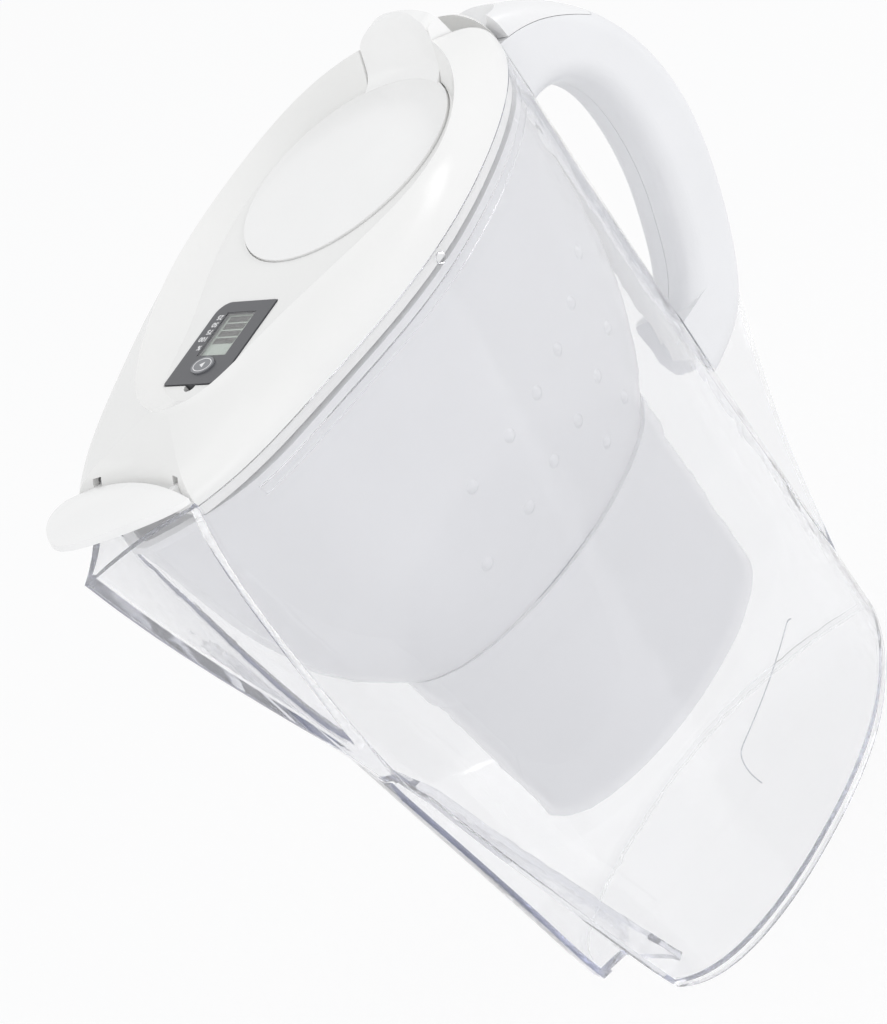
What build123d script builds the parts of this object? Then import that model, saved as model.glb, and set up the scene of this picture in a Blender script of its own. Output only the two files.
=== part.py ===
from build123d import *
import math
import os

# Water filter pitcher, upright. X runs from the spout (-X) to the handle (+X), Z is up, sizes in mm.
# The pieces are the clear jug with its white handle shells, the milky funnel that hangs in it, the
# filter cartridge that stands in the funnel's cup, and the white lid with its flaps and indicator.

# Jug
JUG_WALL = 2.4
JUG_FLOOR = 3.6
RIM_Z = 244.5
FOOT_DEPTH = 1.2
FOOT_WIDTH = 3.5
BACK_RIM_X = 90.0
BACK_BASE_X = 70.0
BACK_HALF = 3.0
WIDE_RIM = 53.0
WIDE_BASE = 44.0
SPOUT_X = -133.0
SPOUT_TIP_HALF = 0.9
SPOUT_HOLLOW = 3.2
SPOUT_ROOT_RISE = 18.0
# The two creases at the front of the hull: height, place and half width. Below the arch they are the
# edges of the front groove, above it the roots of the spout.
CREASE = [(0.0, -86.0, 17.0), (40.0, -92.3, 11.6), (80.0, -98.0, 7.8), (118.0, -103.0, 5.6),
          (145.0, -105.0, 8.6), (175.0, -106.0, 12.6), (205.0, -106.0, 17.0), (244.5, -103.5, 26.5)]
# The keel of the spout: height and place
KEEL = [(121.0, -104.4), (145.0, -109.8), (175.0, -117.8), (205.0, -125.4), (244.5, -133.0)]
GROOVE_DEPTH = 9.5
GROOVE_ARCH_Z = 122.0
GROOVE_ARCH_DEPTH = 3.0
GROOVE_FLANK = 0.72

# Fin and web of the handle, moulded with the jug
WEB_HALF = 1.8
FIN_EDGE = [(72.2, 22.0), (77.5, 40.6), (86.8, 70.0), (94.3, 88.0), (102.0, 105.0), (106.5, 114.0)]
HANDLE_X = 133.0
HANDLE_HALF = 11.0
HANDLE_ROUND = 7.0
HANDLE_OUTER = [(88.0, 254.0), (98.5, 248.5), (108.0, 241.0), (117.5, 230.5), (124.5, 220.0), (129.3, 209.0),
                (132.3, 197.0), (133.0, 185.0), (131.3, 171.0), (127.2, 157.5), (121.5, 144.5),
                (114.5, 132.0), (106.5, 121.0), (98.0, 113.5), (88.0, 109.5), (76.0, 107.5)]
HANDLE_INNER = [(80.0, 131.0), (91.0, 140.5), (97.5, 151.5), (103.2, 164.0), (107.0, 177.5), (108.4, 190.0),
                (107.3, 201.5), (103.0, 210.5), (95.5, 216.5), (84.0, 218.5)]
WEB_MARGIN = 5.2
SHELL_WALL = 3.2
SHELL_SIDE = 2.8
BOSS_R = 3.0
BOSS_PIN_R = 1.5
BOSSES = [(98.0, 228.0), (120.0, 197.0), (108.0, 141.0)]
HANDLE_ROOT_X = 70.0
CAP_SEAM = [(80.0, 243.4), (93.0, 241.0), (103.0, 236.5), (112.0, 230.0), (121.0, 221.5)]
SCOOP_X = 91.5
SCOOP_R = 9.5
SCOOP_LOW_Z = 245.6
TONGUE_HALF = 4.5
TONGUE_THICK = 1.9
TONGUE_SET = 1.2
TONGUE_END_Z = 116.0
TONGUE_BRIDGE = 2.2
CATCH_Z = 127.0
CATCH_LENGTH = 9.0
CATCH_DEPTH = 1.0

# Fits
SEAT_GAP = 0.3
RUNNING_GAP = 0.07
PART_GAP = 0.2

# Ledges inside the jug that the funnel's flange rests on
LEDGE_WIDTH = 1.0
LEDGE_HEIGHT = 3.0
LEDGE_X = (-88.0, 66.0)
BUMP_X = -5.0
BUMP_Z = 240.8
BUMP_R = 2.0
BUMP_PROUD = 0.22

# Funnel
FUNNEL_WALL = 2.0
FUNNEL_TOP_Z = 238.6
FUNNEL_FLANGE = 2.5
FLANGE_STEP = 1.4
FUNNEL_NOSE = [(-113.0, 4.0), (-106.5, 14.0)]
FUNNEL_BACK_INSET = 4.4
HOPPER_LEVELS = [(236.1, 0.0), (200.0, 0.13), (165.0, 0.38), (143.0, 0.72), (131.0, 1.0)]
NECK_SHARE = 0.97
CUP_X = -13.0
CUP_TOP_Z = 131.0
CUP_BOTTOM_Z = 62.0
CUP_A = 60.0
CUP_B = 34.0
CUP_TAPER = 4.5
CUP_WALL = 2.0
BAND_HEIGHT = 10.0
BAND_PROUD = 1.4
BAND_OVER = 2.5
CUP_SEAT_Z = 125.5
SEAT_WALL = 0.5
DOT_A = 3.0
DOT_PROUD = 0.9
DOTS = [(42.5, 194.0), (26.0, 189.5), (10.0, 186.5), (-5.7, 185.0), (-21.4, 184.0), (-39.9, 182.6),
        (34.0, 170.5), (17.7, 166.7), (1.2, 165.4), (-14.0, 164.9), (-29.2, 161.6), (-49.5, 159.8),
        (24.5, 150.8), (7.2, 149.8)]
OUTLET_SLOTS = 7
OUTLET_LENGTH = 26.0
OUTLET_WIDTH = 3.0
OUTLET_PITCH = 9.0

# Cartridge
CARTRIDGE_GAP = 0.6
CARTRIDGE_WALL = 1.6
CARTRIDGE_LOW_Z = 64.4
CARTRIDGE_FLANGE = 2.2
SEAL_THICK = 1.2
SEAL_HALF_WIDTH = 1.2
FLOOR_SLOTS = 9
FLOOR_SLOT_WIDTH = 1.4
FLOOR_SLOT_LENGTH = 30.0
FLOOR_SLOT_PITCH = 8.0
SIEVE_THICK = 0.8
SIEVE_GAP = 0.15
GRANULES_TOP_Z = 122.0
CAP_HEIGHT = 11.0
CAP_WALL = 1.5
CAP_SPHERE_R = 130.0
CAP_SLOTS = 9
CAP_SLOT_WIDTH = 1.4
CAP_SLOT_LENGTH = 24.0
CAP_SLOT_PITCH = 7.5
PULL_RING_R = 9.0
PULL_RING_WIRE = 1.6

# Lid
LID_BASE_Z = 244.8
LID_WALL = 2.2
LID_FRONT_X = -98.5
LID_BACK_X = 89.3
# Shares of the way from the rim to the crest, up and inwards
LID_LEVELS = [(0.0, 0.0), (0.37, 0.04), (0.72, 0.42), (1.0, 1.0)]
# Crest line round the bowl: place, half width and height
CREST = [(-79.0, 4.0, 259.0), (-73.0, 15.0, 259.3), (-53.0, 28.0, 261.2), (-17.0, 42.6, 260.9),
         (22.0, 47.0, 260.0), (48.0, 36.0, 263.2), (62.0, 18.5, 265.8), (67.0, 4.0, 266.6)]
CREST_TIP = (-80.0, 259.0)
CROWN_Z = 271.0
CROWN_IN = 3.4
CROWN_OUT = 4.0
BOWL_Z = 254.8
BOWL_FLOOR = [(-71.0, 4.0), (-65.0, 13.0), (-48.0, 19.5), (-14.0, 33.5), (22.0, 38.6), (45.0, 30.5), (56.0, 17.0),
              (60.8, 4.0)]
BOWL_FLOOR_TIP_X = -72.0
BOWL_MID_RISE = 0.33
BOWL_MID_SHARE = 0.42
BRIM_THICK = 1.6
BRIM_WIDTH = 5.4
SKIRT_INSET = 3.6
SKIRT_WALL = 1.5
SKIRT_LOW_Z = 240.0

# Refill flap
FLAP_X = 22.0
FLAP_A = 38.2
FLAP_B = 36.2
FLAP_GAP = 0.4
FLAP_LOW_Z = 253.8
FLAP_EDGE_Z = 255.4
FLAP_THICK = 1.5
FLAP_CROWN = 3.2
FLAP_LEDGE = 2.2
TAB_HALF = 16.6
TAB_GAP = 0.4
TAB_SHOULDER_Z = 265.2
TAB_TOP_Z = 272.3
TAB_PROFILE = [(54.0, 254.0), (59.4, 255.7), (62.6, 257.6), (64.4, 260.4), (65.8, 263.6), (67.5, 267.6),
               (69.2, 271.0), (70.8, 272.3), (72.3, 271.0), (73.2, 267.0), (73.8, 261.0), (72.6, 254.0)]
POCKET_X = 59.5
POCKET_R = 17.6
POCKET_LOW_Z = 247.4
FLAP_AXIS = (66.5, 256.2)
FLAP_PIN_R = 2.0
FLAP_PIN_LENGTH = 2.6
EAR_WALL = 3.4

# Spout flap, stored a little open
SPOUT_FLAP_OPEN = 18.0
SPOUT_AXIS = (-95.5, 247.0)
SPOUT_FLAP_LOW_Z = 245.4
SPOUT_FLAP_TOP_Z = 250.4
SPOUT_FLAP_SPHERE = 126.0
SPOUT_FLAP_WALL = 1.8
SPOUT_FLAP_BACK_X = -102.5
SPOUT_FLAP_EDGE = [(-132.6, 0.8), (-131.0, 6.5), (-126.6, 13.6), (-120.6, 20.6), (-114.6, 25.8), (-107.2, 29.0)]
SPOUT_FLAP_REAR = (-105.9, 28.2)
# Its two arms reach through slots in the lid's front edge; their pins turn in ears inside the lid
ARM_INNER_Y = 17.4
ARM_OUTER_Y = 19.8
ARM_R = 1.9
ARM_SLOT_GAP = 0.4
ARM_SLOT_TOP_Z = 252.0
ARM_SLOT_X = -93.0
SPOUT_PIN_R = 1.1
SPOUT_PIN_LENGTH = 2.2
SPOUT_EAR_WIDTH = 3.4
SPOUT_EAR_TOP_Z = 250.0

# Indicator
METER_X = -49.0
METER_LENGTH = 33.0
METER_WIDTH = 25.6
METER_ROUND = 5.0
METER_CORNER = 0.8
METER_TOP_Z = 255.2
METER_DEPTH = 8.2
METER_GAP = 0.3
METER_WALL = 1.2
TUB_WALL = 1.4
TUB_FLOOR = 1.3
WINDOW_X = -45.6
WINDOW_LENGTH = 16.6
WINDOW_WIDTH = 12.4
WINDOW_THICK = 0.7
WINDOW_LEDGE = 0.5
LCD_THICK = 1.3
LCD_MARGIN = 1.2
CONNECTOR_WIDTH = 2.0
CONNECTOR_HEIGHT = 1.0
BOARD_THICK = 0.8
BOARD_LOW_Z = 250.3
BUTTON_X = -58.4
BUTTON_A = 3.3
BUTTON_B = 4.7
BUTTON_PROUD = 0.5
BUTTON_EAR = 0.9
BUTTON_DROP = 2.3
DOME_R = 2.2
DOME_HEIGHT = 1.1
CELL_X = -44.0
CELL_R = 8.0
CELL_THICK = 1.6
CONTACT_THICK = 0.3
CONTACT_HALF = 2.0
COVER_THICK = 1.0
METER_SEAL_WIDTH = 0.9
METER_SEAL_HEIGHT = 0.8
PIECE_GAP = 0.1
FINGER_NOTCH_R = 2.4
FINGER_NOTCH_DEPTH = 3.2


def between(rows, z):
    """Value of a table of (z, value, ...) rows at one height, straight between its rows"""
    if z <= rows[0][0]:
        return rows[0][1:]
    for low, high in zip(rows, rows[1:]):
        if z <= high[0]:
            t = (z - low[0]) / (high[0] - low[0])
            return tuple(a + (b - a) * t for a, b in zip(low[1:], high[1:]))
    return rows[-1][1:]


def inset(points, depth):
    """Points of half an outline moved inwards by a depth, square to the outline"""
    moved = []
    for i, (x, w) in enumerate(points):
        x0, w0 = points[max(i - 1, 0)]
        x1, w1 = points[min(i + 1, len(points) - 1)]
        length = math.hypot(x1 - x0, w1 - w0)
        moved.append((x + depth * (w1 - w0) / length, w - depth * (x1 - x0) / length))
    return moved


def blend(first, second, share):
    """Points between two half outlines of as many points"""
    return [(a + (c - a) * share, b + (d - b) * share) for (a, b), (c, d) in zip(first, second)]


def closed_ring(place, front=None):
    """Closed wire mirrored in y from half an outline of x, half width and z, front to back"""
    near = Spline(*[(x, -w, z) for x, w, z in place])
    far = Spline(*[(x, w, z) for x, w, z in reversed(place)])
    back = Line(near @ 1, far @ 0)
    if front is None:
        nose = Line(far @ 1, near @ 0)
    else:
        nose = ThreePointArc(far @ 1, (front[0], 0, front[1]), near @ 0)
    return Wire([near, back, far, nose])


def closed_outline(points, level, front_x=None):
    """Closed wire at one height from half an outline of x and half width"""
    front = None if front_x is None else (front_x, level)
    return closed_ring([(x, w, level) for x, w in points], front)


def loft_of(wires, ruled=False):
    return Solid.make_loft(wires, ruled)


def oval(a, b, z, x=0.0):
    """Elliptic wire of half sizes a and b at one height"""
    return Wire([Edge.make_ellipse(a, b, Plane((x, 0, z)))])


def oval_block(a0, b0, z0, a1, b1, z1, x):
    return loft_of([oval(a0, b0, z0, x), oval(a1, b1, z1, x)], True)


def box_between(x0, x1, y0, y1, z0, z1):
    return Box(x1 - x0, y1 - y0, z1 - z0, align=(Align.MIN, Align.MIN, Align.MIN)).moved(
        Location((x0, y0, z0)))


def profile_plate(points, half):
    """Plate with a straight edged outline in the XZ plane, its thickness centred on y = 0"""
    wire = Wire.make_polygon([(x, 0, z) for x, z in points])
    return extrude(Face(wire), half, dir=(0, 1, 0), both=True)


def cross_pin(radius, x, z, y0, y1):
    return Cylinder(radius, y1 - y0, align=(Align.CENTER, Align.CENTER, Align.MIN)).moved(
        Location((x, y0, z), (-90, 0, 0)))


# Hull of the jug

def hull_points(z, depth):
    """Half outline of the jug at a height, moved inwards by a depth"""
    t = z / RIM_Z
    crease = between(CREASE, z)
    base = [(-79.0, 32.0), (-57.0, 42.0), (-26.0, WIDE_BASE), (18.0, 37.0), (48.0, 22.0), (62.0, 11.0),
            (BACK_BASE_X, BACK_HALF)]
    rim = [(-88.0, 36.0), (-60.0, 44.5), (-13.0, WIDE_RIM), (36.0, 45.5), (69.0, 29.0), (83.0, 15.0),
           (BACK_RIM_X, BACK_HALF)]
    side = blend(base, rim, t)
    if t > 1:
        side = rim
    return inset([crease] + side, depth)


def hull(depth, bottom, top):
    """Solid hull between two heights, moved inwards by a depth"""
    levels = [bottom] + [row[0] for row in CREASE[1:-1] if bottom < row[0] < top] + [top]
    wires = []
    for z in levels:
        points = hull_points(z, depth)
        wires.append(closed_outline(points, z))
    return loft_of(wires)


def spout_wire(z, depth):
    """Three sided section of the spout, its root a little inside the hull"""
    root_x, root_w = between(CREASE, z)
    keel_x = between(KEEL, z)[0]
    hollow = SPOUT_HOLLOW * max(0.0, z - KEEL[1][0]) / (RIM_Z - KEEL[1][0])
    slope = math.hypot(root_x - keel_x, root_w) / (root_x - keel_x)
    root_w = root_w - depth * slope - PART_GAP
    tip_x = keel_x + depth * 1.6
    mid = ((root_x + tip_x) / 2, (root_w + SPOUT_TIP_HALF) / 2 - hollow)
    inner_x = root_x + 3.0
    near = Spline((tip_x, -SPOUT_TIP_HALF, z), (mid[0], -mid[1], z), (root_x, -root_w, z))
    far = Spline((root_x, root_w, z), (mid[0], mid[1], z), (tip_x, SPOUT_TIP_HALF, z))
    corner0 = (inner_x, -root_w, z)
    corner1 = (inner_x, root_w, z)
    return Wire([near, Line(near @ 1, corner0), Line(corner0, corner1), Line(corner1, far @ 0), far,
                 Line(far @ 1, near @ 0)])


def spout(depth, bottom, top):
    levels = [bottom] + [row[0] for row in KEEL[1:-1] if bottom < row[0] < top] + [top]
    return loft_of([spout_wire(z, depth) for z in levels])


def groove(grow):
    """The arched hollow down the front below the spout, larger all round by an amount"""
    wires = []
    top = GROOVE_ARCH_Z + grow
    for z in (-1.0, 40.0, 80.0, 110.0, top):
        edge_x, edge_w = between(CREASE, max(z, 0.0))
        share = min(max(z, 0.0) / GROOVE_ARCH_Z, 1.0)
        depth = GROOVE_DEPTH + (GROOVE_ARCH_DEPTH - GROOVE_DEPTH) * share
        if z == top:
            edge_w, depth = 1.5, 0.6
        edge_w += grow
        inner_x = edge_x + depth + grow
        front_x = edge_x - 25.0
        flank = GROOVE_FLANK * edge_w
        corners = [(front_x, -edge_w), (edge_x, -edge_w), (inner_x, -flank), (inner_x, flank), (edge_x, edge_w),
                   (front_x, edge_w)]
        wires.append(Wire.make_polygon([(x, y, z) for x, y in corners]))
    return loft_of(wires, True)


def back_x(z, depth):
    return BACK_BASE_X + (BACK_RIM_X - BACK_BASE_X) * z / RIM_Z - depth


def handle_web():
    """Clear fin and the C shaped web that the handle shells close on"""
    outer = [p for p in inset_curve(HANDLE_OUTER, WEB_MARGIN) if 120.0 < p[1] < 238.0]
    inner = [p for p in inset_curve(HANDLE_INNER, WEB_MARGIN) if 140.0 < p[1] < 224.0]
    root_low = (back_x(60.0, 1.0), 60.0)
    fin = smooth_curve(FIN_EDGE, 24)
    points = [(back_x(22.0, 1.0), 22.0)] + fin + list(reversed(outer)) + [(back_x(239.0, 1.0), 239.0)]
    points += [(back_x(226.0, 1.0), 226.0)] + list(reversed(inner)) + [(back_x(122.0, 1.0), 122.0), root_low]
    return profile_plate(points, WEB_HALF)


def smooth_curve(points, count):
    """Points along a smooth curve through a few points"""
    curve = Spline(*[(x, 0, z) for x, z in points])
    places = [curve.position_at(i / count) for i in range(count + 1)]
    return [(p.X, p.Z) for p in places]


def inset_curve(points, depth):
    """Points of an open curve moved sideways, to its right hand"""
    moved = []
    for i, (x, z) in enumerate(points):
        x0, z0 = points[max(i - 1, 0)]
        x1, z1 = points[min(i + 1, len(points) - 1)]
        length = math.hypot(x1 - x0, z1 - z0)
        moved.append((x + depth * (z1 - z0) / length, z - depth * (x1 - x0) / length))
    return moved


def rim_ledges():
    """Two ledges along the side walls that carry the funnel's flange"""
    top = FUNNEL_TOP_Z - FUNNEL_FLANGE - SEAT_GAP
    low = top - LEDGE_HEIGHT
    ring = hull(JUG_WALL - PART_GAP, low, top) - hull(JUG_WALL + LEDGE_WIDTH, low - 1.0, top + 1.0)
    return ring & box_between(LEDGE_X[0], LEDGE_X[1], -60.0, 60.0, low - 1.0, top + 1.0)


def snap_bumps():
    points = hull_points(BUMP_Z, JUG_WALL)
    w = width_at(points, BUMP_X)
    y = w - BUMP_PROUD + BUMP_R
    return [Sphere(BUMP_R).moved(Location((BUMP_X, side * y, BUMP_Z))) for side in (-1, 1)]


def width_at(points, x):
    """Half width of an outline at one place along x, straight between its points"""
    for (x0, w0), (x1, w1) in zip(points, points[1:]):
        if x0 <= x <= x1:
            return w0 + (w1 - w0) * (x - x0) / (x1 - x0)
    return points[-1][1]


def jug_body():
    outer = hull(0.0, 0.0, RIM_Z) + spout(0.0, KEEL[0][0], RIM_Z)
    cavity = hull(JUG_WALL, JUG_FLOOR, RIM_Z + 1.0) - groove(JUG_WALL)
    cavity += spout(JUG_WALL, KEEL[0][0] + SPOUT_ROOT_RISE, RIM_Z + 1.0)
    body = outer - groove(0.0) + handle_web()
    body -= cavity
    body -= hull(FOOT_WIDTH, -1.0, FOOT_DEPTH)
    body -= box_between(BACK_RIM_X - 8.0, BACK_RIM_X + 6.0, -TONGUE_HALF - 0.6, TONGUE_HALF + 0.6,
                        RIM_Z - TONGUE_BRIDGE - 2 * SEAT_GAP, RIM_Z + 1.0)
    body += rim_ledges()
    wall = hull(1.0, 200.0, RIM_Z) - hull(JUG_WALL + 1.0, 199.0, RIM_Z + 1.0)
    for bump in snap_bumps():
        body += bump & wall
    for x, z in BOSSES:
        body -= cross_pin(BOSS_PIN_R + PART_GAP, x, z, -WEB_HALF - 1.0, WEB_HALF + 1.0)
    return body


def web_clearance():
    """Space that the clear web and fin take inside the handle shells"""
    outer = [p for p in inset_curve(HANDLE_OUTER, WEB_MARGIN - SEAT_GAP) if 120.0 < p[1] < 238.0]
    inner = [p for p in inset_curve(HANDLE_INNER, WEB_MARGIN - SEAT_GAP) if 140.0 < p[1] < 224.0]
    fin = [(x + SEAT_GAP, z) for x, z in smooth_curve(FIN_EDGE, 24)]
    points = [(60.0, 22.0)] + fin + list(reversed(outer)) + [(60.0, 242.0)]
    points += [(60.0, 225.6), (back_x(226.0, 0.0), 225.6)] + list(reversed(inner))
    points += [(back_x(122.0, 1.8), 122.4), (60.0, 122.4)]
    return profile_plate(points, WEB_HALF + SEAT_GAP)


# Handle shells

def handle_profile(margin):
    """Filled C of the handle in the XZ plane, its ends inside the hull"""
    outer = inset_curve(HANDLE_OUTER, margin)
    inner = inset_curve(HANDLE_INNER, margin)
    outer_edge = Spline(*[(x, 0, z) for x, z in outer])
    inner_edge = Spline(*[(x, 0, z) for x, z in inner])
    low = [outer_edge @ 1, Vector(HANDLE_ROOT_X, 0, outer[-1][1]), Vector(HANDLE_ROOT_X, 0, inner[0][1]),
           inner_edge @ 0]
    high = [inner_edge @ 1, Vector(HANDLE_ROOT_X, 0, inner[-1][1]), Vector(HANDLE_ROOT_X, 0, outer[0][1]),
            outer_edge @ 0]
    lines = [Line(a, b) for a, b in zip(low, low[1:])]
    lines += [Line(a, b) for a, b in zip(high, high[1:])]
    return Face(Wire([outer_edge, inner_edge] + lines))


def handle_block():
    """Outer form of the handle, rounded, and clear of the hull and of the lid's back"""
    block = extrude(handle_profile(0.0), HANDLE_HALF, dir=(0, 1, 0), both=True)
    long_edges = [e for e in block.edges() if abs(abs(e.center().Y) - HANDLE_HALF) < 0.01 and e.length > 60.0]
    block = fillet(long_edges, HANDLE_ROUND)
    block -= hull(-SEAT_GAP, 60.0, RIM_Z + SEAT_GAP)
    block -= box_between(60.0, LID_BACK_X + 0.6, -20.0, 20.0, RIM_Z - 1.0, 280.0)
    return block


def above_seam(gap):
    """Region over the line where the top cap of the handle meets the side shells"""
    edge = Spline(*[(x, 0, z + gap) for x, z in CAP_SEAM])
    last = edge @ 1
    first = edge @ 0
    corners = [last, Vector(last.X + 30.0, 0, last.Z + 10.0), Vector(last.X + 30.0, 0, 285.0),
               Vector(first.X, 0, 285.0), first]
    face = Face(Wire([edge] + [Line(a, b) for a, b in zip(corners, corners[1:])]))
    return extrude(face, HANDLE_HALF + 2.0, dir=(0, 1, 0), both=True)


def handle_shell(block, side):
    """One side shell: hollow, with bosses that meet the web, and pins on the left one"""
    low, high = sorted((side * PART_GAP / 2, side * (HANDLE_HALF + 1.0)))
    shell = block & box_between(60.0, 140.0, low, high, 90.0, 270.0)
    shell -= above_seam(-PART_GAP)
    deep = HANDLE_HALF - SHELL_SIDE
    pocket = extrude(handle_profile(SHELL_WALL), deep, dir=(0, side, 0))
    pocket -= hull(-SHELL_WALL, 60.0, RIM_Z + SHELL_WALL)
    pocket -= above_seam(-SHELL_WALL)
    shell -= pocket
    face_y = WEB_HALF + SEAT_GAP
    for x, z in BOSSES:
        low, high = sorted((side * face_y, side * (deep + 0.5)))
        shell += cross_pin(BOSS_R, x, z, low, high)
    shell -= web_clearance()
    for x, z in BOSSES:
        if side < 0:
            shell += cross_pin(BOSS_PIN_R, x, z, -face_y - 1.0, face_y + 3.0)
        else:
            shell -= cross_pin(BOSS_PIN_R + RUNNING_GAP, x, z, 0.0, face_y + 4.0)
    return shell


def handle_cap(block):
    """Top cap with its thumb scoop, and the tongue that hooks over the rim and down inside the jug"""
    cap = block & above_seam(0.0)
    cap -= Sphere(SCOOP_R).moved(Location((SCOOP_X, 0, SCOOP_LOW_Z + SCOOP_R)))
    cap -= web_clearance()
    cap -= box_between(60.0, LID_BACK_X + 0.6, -20.0, 20.0, 230.0, 280.0)
    top = RIM_Z - SEAT_GAP
    inner_top = back_x(RIM_Z, JUG_WALL + TONGUE_SET)
    inner_end = back_x(TONGUE_END_Z, JUG_WALL + TONGUE_SET)
    tongue = profile_plate([(inner_top - TONGUE_THICK, top), (inner_top, top), (inner_end, TONGUE_END_Z),
                            (inner_end - TONGUE_THICK, TONGUE_END_Z)], TONGUE_HALF)
    bridge = box_between(inner_top - TONGUE_THICK, LID_BACK_X + 8.0, -TONGUE_HALF, TONGUE_HALF,
                         top - TONGUE_BRIDGE, top)
    catch_x = back_x(CATCH_Z, JUG_WALL + TONGUE_SET) - TONGUE_THICK
    catch = profile_plate([(catch_x + 0.8, CATCH_Z + CATCH_LENGTH / 2),
                           (catch_x - CATCH_DEPTH, CATCH_Z - CATCH_LENGTH / 2),
                           (catch_x + 0.3, CATCH_Z - CATCH_LENGTH / 2 - 0.5)], TONGUE_HALF / 2)
    return cap + bridge + tongue + catch


# Funnel

def funnel_points(z, share, depth):
    """Half outline of the funnel: the jug's bore at share 0, the cup's oval at 1, moved in by a depth"""
    bore = hull_points(z, JUG_WALL + SEAT_GAP)
    corner = (bore[-2][0] - 1.0, bore[-2][1] - 0.8)
    top = FUNNEL_NOSE + bore[1:-2] + [corner]
    top.append((bore[-1][0] - FUNNEL_BACK_INSET, TONGUE_HALF + 1.5))
    bottom = []
    for x, w in top:
        angle = math.atan2(w / CUP_B, (x - CUP_X) / CUP_A)
        bottom.append((CUP_X + CUP_A * math.cos(angle), CUP_B * math.sin(angle)))
    return inset(blend(top, bottom, share), depth)


def hopper(depth, levels):
    top_z = HOPPER_LEVELS[0][0]
    return loft_of([closed_outline(funnel_points(top_z, share, depth), z) for z, share in levels])


def cup_oval(z, depth):
    share = (CUP_TOP_Z - z) / (CUP_TOP_Z - CUP_BOTTOM_Z)
    return CUP_A - CUP_TAPER * share - depth, CUP_B - CUP_TAPER * share - depth


def cup_block(depth, z0, z1):
    """Oval block with the taper of the cup, moved in by a depth"""
    a0, b0 = cup_oval(z0, depth)
    a1, b1 = cup_oval(z1, depth)
    return oval_block(a0, b0, z0, a1, b1, z1, CUP_X)


def straight_oval(a, b, z0, z1, x):
    return oval_block(a, b, z0, a, b, z1, x)


def hopper_dots(body):
    """Raised dots on both flanks of the hopper; each stands where its slanting wall ends"""
    dots = []
    for x, z in DOTS:
        low, high = 0.0, WIDE_RIM
        while high - low > 0.05:
            w = (low + high) / 2
            if body.is_inside((x, w, z)):
                low = w
            else:
                high = w
        for side in (-1, 1):
            dots.append(Sphere(DOT_A).moved(Location((x, side * (w + DOT_PROUD - DOT_A), z))))
    return dots


def funnel():
    low_z = FUNNEL_TOP_Z - FUNNEL_FLANGE
    flange = loft_of([closed_outline(funnel_points(low_z, 0.0, 0.0), low_z),
                      closed_outline(funnel_points(FUNNEL_TOP_Z, 0.0, 0.0), FUNNEL_TOP_Z)], True)
    body = hopper(FLANGE_STEP, HOPPER_LEVELS)
    for dot in hopper_dots(body):
        body += dot
    body += flange
    body += cup_block(0.0, CUP_BOTTOM_Z, CUP_TOP_Z)
    body += cup_block(-BAND_PROUD, CUP_TOP_Z - BAND_HEIGHT, CUP_TOP_Z + BAND_OVER)
    inner_levels = [(FUNNEL_TOP_Z + 1.0, 0.0)] + HOPPER_LEVELS[:-1] + [(CUP_TOP_Z + FUNNEL_WALL, NECK_SHARE)]
    body -= hopper(FLANGE_STEP + FUNNEL_WALL, inner_levels)
    body -= cup_block(CUP_WALL, CUP_BOTTOM_Z + CUP_WALL, CUP_SEAT_Z + 1.0)
    body -= cup_block(SEAT_WALL, CUP_SEAT_Z, CUP_TOP_Z + 12.0)
    for i in range(OUTLET_SLOTS):
        x = CUP_X + (i - (OUTLET_SLOTS - 1) / 2) * OUTLET_PITCH
        body -= box_between(x - OUTLET_WIDTH / 2, x + OUTLET_WIDTH / 2, -OUTLET_LENGTH / 2, OUTLET_LENGTH / 2,
                            CUP_BOTTOM_Z - 1.0, CUP_BOTTOM_Z + CUP_WALL + 1.0)
    return body


# Cartridge

CARTRIDGE_DEPTH = CUP_WALL + CARTRIDGE_GAP
FLANGE_LOW_Z = CUP_SEAT_Z + SEAL_THICK
FLANGE_TOP_Z = FLANGE_LOW_Z + CARTRIDGE_FLANGE
FLANGE_DEPTH = SEAT_WALL + CARTRIDGE_GAP


def slots(x, count, pitch, width, length, z0, z1):
    """Row of straight slots that run across the pitcher"""
    cuts = []
    for i in range(count):
        middle = x + (i - (count - 1) / 2) * pitch
        cuts.append(box_between(middle - width / 2, middle + width / 2, -length / 2, length / 2, z0, z1))
    return cuts


def cartridge_housing():
    body = cup_block(CARTRIDGE_DEPTH, CARTRIDGE_LOW_Z, FLANGE_TOP_Z)
    body += cup_block(FLANGE_DEPTH, FLANGE_LOW_Z, FLANGE_TOP_Z)
    body -= cup_block(CARTRIDGE_DEPTH + CARTRIDGE_WALL, CARTRIDGE_LOW_Z + CARTRIDGE_WALL, FLANGE_TOP_Z + 1.0)
    for cut in slots(CUP_X, FLOOR_SLOTS, FLOOR_SLOT_PITCH, FLOOR_SLOT_WIDTH, FLOOR_SLOT_LENGTH,
                     CARTRIDGE_LOW_Z - 1.0, CARTRIDGE_LOW_Z + CARTRIDGE_WALL + 1.0):
        body -= cut
    return body


def cartridge_seal_ring():
    ring = cup_block(FLANGE_DEPTH, CUP_SEAT_Z, FLANGE_LOW_Z)
    return ring - cup_block(CARTRIDGE_DEPTH - PIECE_GAP, CUP_SEAT_Z - 1.0, FLANGE_LOW_Z + 1.0)


def fill_block(z0, z1):
    """Block that fills the inside of the cartridge with a small gap all round"""
    return cup_block(CARTRIDGE_DEPTH + CARTRIDGE_WALL + SIEVE_GAP, z0, z1)


def cartridge_bottom_sieve():
    low = CARTRIDGE_LOW_Z + CARTRIDGE_WALL + SIEVE_GAP
    return fill_block(low, low + SIEVE_THICK)


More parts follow.
